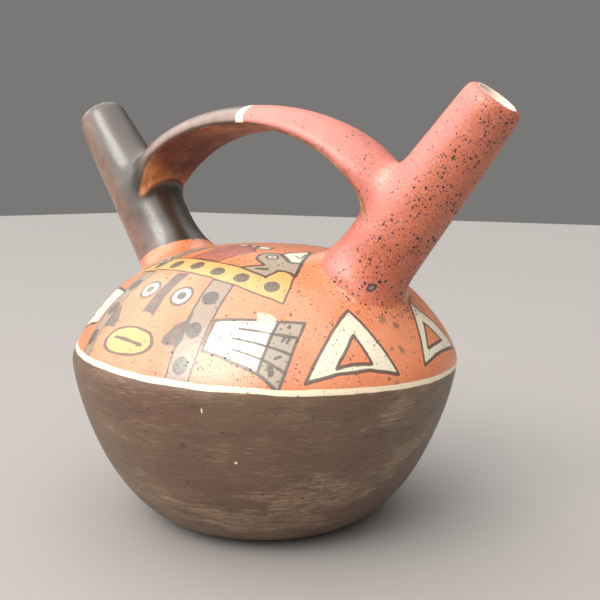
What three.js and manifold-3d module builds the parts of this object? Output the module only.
// Double-spout pottery bottle with a strap bridge, hollow, of fired clay. It is parted where its clay was
// joined: at the belly, at the spouts' feet and at the strap's ends, a hair's breadth between the parts.
// Millimetres, +Z up, origin at the centre of the flat underside, spouts along -X and +X.
import * as THREE from "three";
import { mergeVertices } from "three/addons/utils/BufferGeometryUtils.js";
import Module from "manifold-3d";

// Body: a bowl up to the belly, the widest ring, and a dome above it
const BODY_R = 82;
const BOWL_H = 69.6;
const DOME_H = 46;
const FOOT_R = 34.5;           // flat underside
const BOWL_CURVE = [1.39, 2.12]; // roundness, up and outward; 2 and 2 would be an ellipse
const DOME_CURVE = [1.26, 2.74];

// Walls
const WALL = 5.5;
const FLOOR = 7.5;

// Spouts: each axis meets the dome this far in from the belly's edge, leans out and has this length
const LEFT = { side: -1, inset: 29.8, leanDeg: 35.9, length: 86.5, strapJoint: 31.6 };
const RIGHT = { side: 1, inset: 32.4, leanDeg: 38.3, length: 82.9, strapJoint: 22.7 };
const SPOUT_BASE_R = 16.9;
const SPOUT_TIP_R = 11.8;
const SPOUT_WALL = 4.2;
const SPOUT_FLARE = 1.6;       // extra radius where the clay is smoothed on to the dome
const FLARE_LENGTH = 7;
const LIP_ROUND = 3.2;
const MOUTH_CHAMFER = 0.8;

// Strap bridge: half an oval ring between the spouts' axes, its ends this far up each axis
const HAND_GAP = 47.2;         // clear height between the dome's crown and the strap
const STRAP_W = 38;
const STRAP_T = 9.4;           // at the crown; the oval makes it thicker towards its ends
const STRAP_SINK = 3.5;        // how far each side of the strap's end lies inside the spout
const STRAP_BELLY = 1.4;       // how far the underside bulges below its two edges
const STRAP_NARROWING = 12;    // how late the strap narrows towards its ends; higher is later
const UNDERSIDE_FLAT = 0.8;    // shares of the strap's width: the underside's flat middle,
const UNDERSIDE_EDGE = 0.94;   // and where it starts to round up to the edges

const PART_GAP = 0.3;          // between the parts of the clay

// Mesh fineness
const BODY_SEGMENTS = 56;
const BODY_RINGS = 8;
const CHAMBER_SEGMENTS = 40;
const CHAMBER_RINGS = 6;
const SPOUT_SEGMENTS = 24;
const BORE_SEGMENTS = 20;
const LIP_STEPS = 2;
const STRAP_STEPS = 24;
const STRAP_CURVE_STEPS = 5;
const SHORTEST_EDGE = 0.02;

// Burnished slips, by their colours in the photograph
const slip = (color, roughness) => new THREE.MeshStandardMaterial({ color, roughness, metalness: 0 });
const BROWN_SLIP = slip(0x5a463a, 0.6);
const ORANGE_SLIP = slip(0xc8683f, 0.4);
const DARK_SLIP = slip(0x4a3c38, 0.35);
const RED_SLIP = slip(0xa9544c, 0.35);

const wasm = await Module();
wasm.setup();

function toSolid(geometry) {
  const bare = geometry.clone();
  bare.deleteAttribute("normal");
  bare.deleteAttribute("uv");
  const merged = mergeVertices(bare, 1e-4);
  const vertProperties = new Float32Array(merged.attributes.position.array);
  const triVerts = new Uint32Array(merged.index.array);
  return new wasm.Manifold(new wasm.Mesh({ numProp: 3, vertProperties, triVerts }));
}

function toGeometry(solid) {
  const mesh = solid.getMesh();
  const geometry = new THREE.BufferGeometry();
  geometry.setAttribute("position", new THREE.BufferAttribute(new Float32Array(mesh.vertProperties), 3));
  geometry.setIndex(new THREE.BufferAttribute(new Uint32Array(mesh.triVerts), 1));
  geometry.computeVertexNormals();
  return geometry;
}

// A vessel's side from its floor to its crown: a bowl below the belly and a dome above it.
function vesselProfile({ radius, foot, floorZ, domeH, rings }) {
  const points = [new THREE.Vector2(0, floorZ)];
  for (let i = 0; i <= rings; i++) {
    const down = Math.cos((i / rings) * Math.PI / 2);
    const out = (1 - down ** BOWL_CURVE[0]) ** (1 / BOWL_CURVE[1]);
    points.push(new THREE.Vector2(foot + (radius - foot) * out, BOWL_H - (BOWL_H - floorZ) * down));
  }
  for (let i = 1; i < rings; i++) {
    const up = Math.sin((i / rings) * Math.PI / 2);
    const out = (1 - up ** DOME_CURVE[0]) ** (1 / DOME_CURVE[1]);
    points.push(new THREE.Vector2(radius * out, BOWL_H + domeH * up));
  }
  points.push(new THREE.Vector2(0, BOWL_H + domeH));
  return points;
}

function bodySolid(grow = 0) {
  const profile = vesselProfile({
    radius: BODY_R + grow, foot: FOOT_R + grow, floorZ: -grow, domeH: DOME_H + grow, rings: BODY_RINGS,
  });
  return toSolid(new THREE.LatheGeometry(profile, BODY_SEGMENTS).rotateX(Math.PI / 2));
}

function chamberSolid() {
  const profile = vesselProfile({
    radius: BODY_R - WALL, foot: FOOT_R - WALL, floorZ: FLOOR, domeH: DOME_H - WALL, rings: CHAMBER_RINGS,
  });
  return toSolid(new THREE.LatheGeometry(profile, CHAMBER_SEGMENTS).rotateX(Math.PI / 2));
}

// Height of the dome's outer surface at a distance from the axis.
function domeHeight(r) {
  const up = (1 - (r / BODY_R) ** DOME_CURVE[1]) ** (1 / DOME_CURVE[0]);
  return BOWL_H + DOME_H * up;
}

function spoutAxis(spout) {
  const lean = THREE.MathUtils.degToRad(spout.leanDeg);
  const baseX = BODY_R - spout.inset;
  return {
    base: new THREE.Vector3(spout.side * baseX, 0, domeHeight(baseX)),
    direction: new THREE.Vector3(spout.side * Math.sin(lean), 0, Math.cos(lean)),
  };
}

function strapEnd(spout) {
  const { base, direction } = spoutAxis(spout);
  return base.clone().addScaledVector(direction, spout.strapJoint);
}

// Turns a profile about the spout's own axis and leans it into place.
function leaningLathe(spout, profile, segments) {
  const { base, direction } = spoutAxis(spout);
  const geometry = new THREE.LatheGeometry(profile, segments).rotateX(Math.PI / 2);
  const lean = new THREE.Quaternion().setFromUnitVectors(new THREE.Vector3(0, 0, 1), direction);
  return toSolid(geometry.applyQuaternion(lean).translate(base.x, base.y, base.z));
}

function spoutRadius(spout, s) {
  return SPOUT_BASE_R + (SPOUT_TIP_R - SPOUT_BASE_R) * (s / spout.length);
}

function spoutSolid(spout, grow = 0) {
  const root = -(WALL + FLARE_LENGTH);
  const profile = [
    new THREE.Vector2(0, root),
    new THREE.Vector2(SPOUT_BASE_R + SPOUT_FLARE, root),
    new THREE.Vector2(SPOUT_BASE_R + SPOUT_FLARE, -FLARE_LENGTH / 2),
    new THREE.Vector2(spoutRadius(spout, 0) + SPOUT_FLARE / 2, 0),
    new THREE.Vector2(spoutRadius(spout, FLARE_LENGTH / 2) + SPOUT_FLARE / 6, FLARE_LENGTH / 2),
    new THREE.Vector2(spoutRadius(spout, FLARE_LENGTH), FLARE_LENGTH),
  ];
  for (let i = 0; i <= LIP_STEPS; i++) {
    const a = (i / LIP_STEPS) * Math.PI / 2;
    const r = SPOUT_TIP_R - LIP_ROUND * (1 - Math.cos(a));
    profile.push(new THREE.Vector2(r, spout.length - LIP_ROUND * (1 - Math.sin(a))));
  }
  profile.push(new THREE.Vector2(0, spout.length));
  const grown = profile.map((p) => new THREE.Vector2(p.x === 0 ? 0 : p.x + grow, p.y));
  return leaningLathe(spout, grown, SPOUT_SEGMENTS);
}

function boreSolid(spout) {
  const root = -(2 * WALL + FLARE_LENGTH);
  const tip = SPOUT_TIP_R - SPOUT_WALL;
  const profile = [
    new THREE.Vector2(0, root),
    new THREE.Vector2(SPOUT_BASE_R - SPOUT_WALL, root),
    new THREE.Vector2(SPOUT_BASE_R - SPOUT_WALL, 0),
    new THREE.Vector2(tip, spout.length - MOUTH_CHAMFER),
    new THREE.Vector2(tip + 2 * MOUTH_CHAMFER, spout.length + MOUTH_CHAMFER),
    new THREE.Vector2(0, spout.length + MOUTH_CHAMFER),
  ];
  return leaningLathe(spout, profile, BORE_SEGMENTS);
}

// Strap's section, one unit wide and one thick: a low dome over a nearly flat underside.
function strapSection() {
  const belly = STRAP_BELLY / STRAP_T;
  const section = new THREE.Shape();
  section.absellipse(0, 0, 0.5, 1, 0, Math.PI, false);
  section.lineTo(-UNDERSIDE_EDGE / 2, -0.7 * belly);
  section.lineTo(-UNDERSIDE_FLAT / 2, -belly);
  section.lineTo(UNDERSIDE_FLAT / 2, -belly);
  section.lineTo(UNDERSIDE_EDGE / 2, -0.7 * belly);
  return section;
}

// Bends a straight bar of that section, one unit long, into the half ring and squashes it to its rise.
function strapSolid() {
  const from = strapEnd(LEFT);
  const to = strapEnd(RIGHT);
  const middle = from.clone().add(to).divideScalar(2);
  const ringR = from.distanceTo(to) / 2;
  const crownZ = BOWL_H + DOME_H + HAND_GAP + STRAP_BELLY + STRAP_T / 2;
  const squash = (crownZ - middle.z) / ringR;
  const bar = new THREE.ExtrudeGeometry(strapSection(), {
    depth: 1, steps: STRAP_STEPS, curveSegments: STRAP_CURVE_STEPS, bevelEnabled: false,
  });
  const place = bar.attributes.position;
  for (let i = 0; i < place.count; i++) {
    const angle = place.getZ(i) * Math.PI;
    const spout = angle < Math.PI / 2 ? LEFT : RIGHT;
    const endWidth = 2 * (spoutRadius(spout, spout.strapJoint) - STRAP_SINK);
    const width = THREE.MathUtils.lerp(STRAP_W, endWidth, Math.cos(angle) ** STRAP_NARROWING);
    const r = ringR + (place.getY(i) - 0.5) * (STRAP_T / squash);
    place.setXYZ(i, -r * Math.cos(angle), place.getX(i) * width, r * squash * Math.sin(angle));
  }
  const slope = Math.atan2(from.z - to.z, to.x - from.x);
  return toSolid(bar.rotateY(slope).translate(middle.x, 0, middle.z));
}

function addNode(group, name, solid, material) {
  const mesh = new THREE.Mesh(toGeometry(solid.asOriginal().simplify(SHORTEST_EDGE)), material);
  mesh.name = name;
  group.add(mesh);
}

function buildBottle() {
  const group = new THREE.Group();
  const bores = boreSolid(LEFT).add(boreSolid(RIGHT));
  const shell = bodySolid().subtract(chamberSolid()).subtract(bores);
  const grownBody = bodySolid(PART_GAP);
  const grownSpouts = spoutSolid(LEFT, PART_GAP).add(spoutSolid(RIGHT, PART_GAP));
  addNode(group, "bowl", shell.trimByPlane([0, 0, -1], -BOWL_H), BROWN_SLIP);
  addNode(group, "dome", shell.trimByPlane([0, 0, 1], BOWL_H + PART_GAP), ORANGE_SLIP);
  addNode(group, "left_spout", spoutSolid(LEFT).subtract(grownBody).subtract(bores), DARK_SLIP);
  addNode(group, "right_spout", spoutSolid(RIGHT).subtract(grownBody).subtract(bores), RED_SLIP);
  addNode(group, "strap_bridge", strapSolid().subtract(grownSpouts), RED_SLIP);
  return group;
}

export default buildBottle();
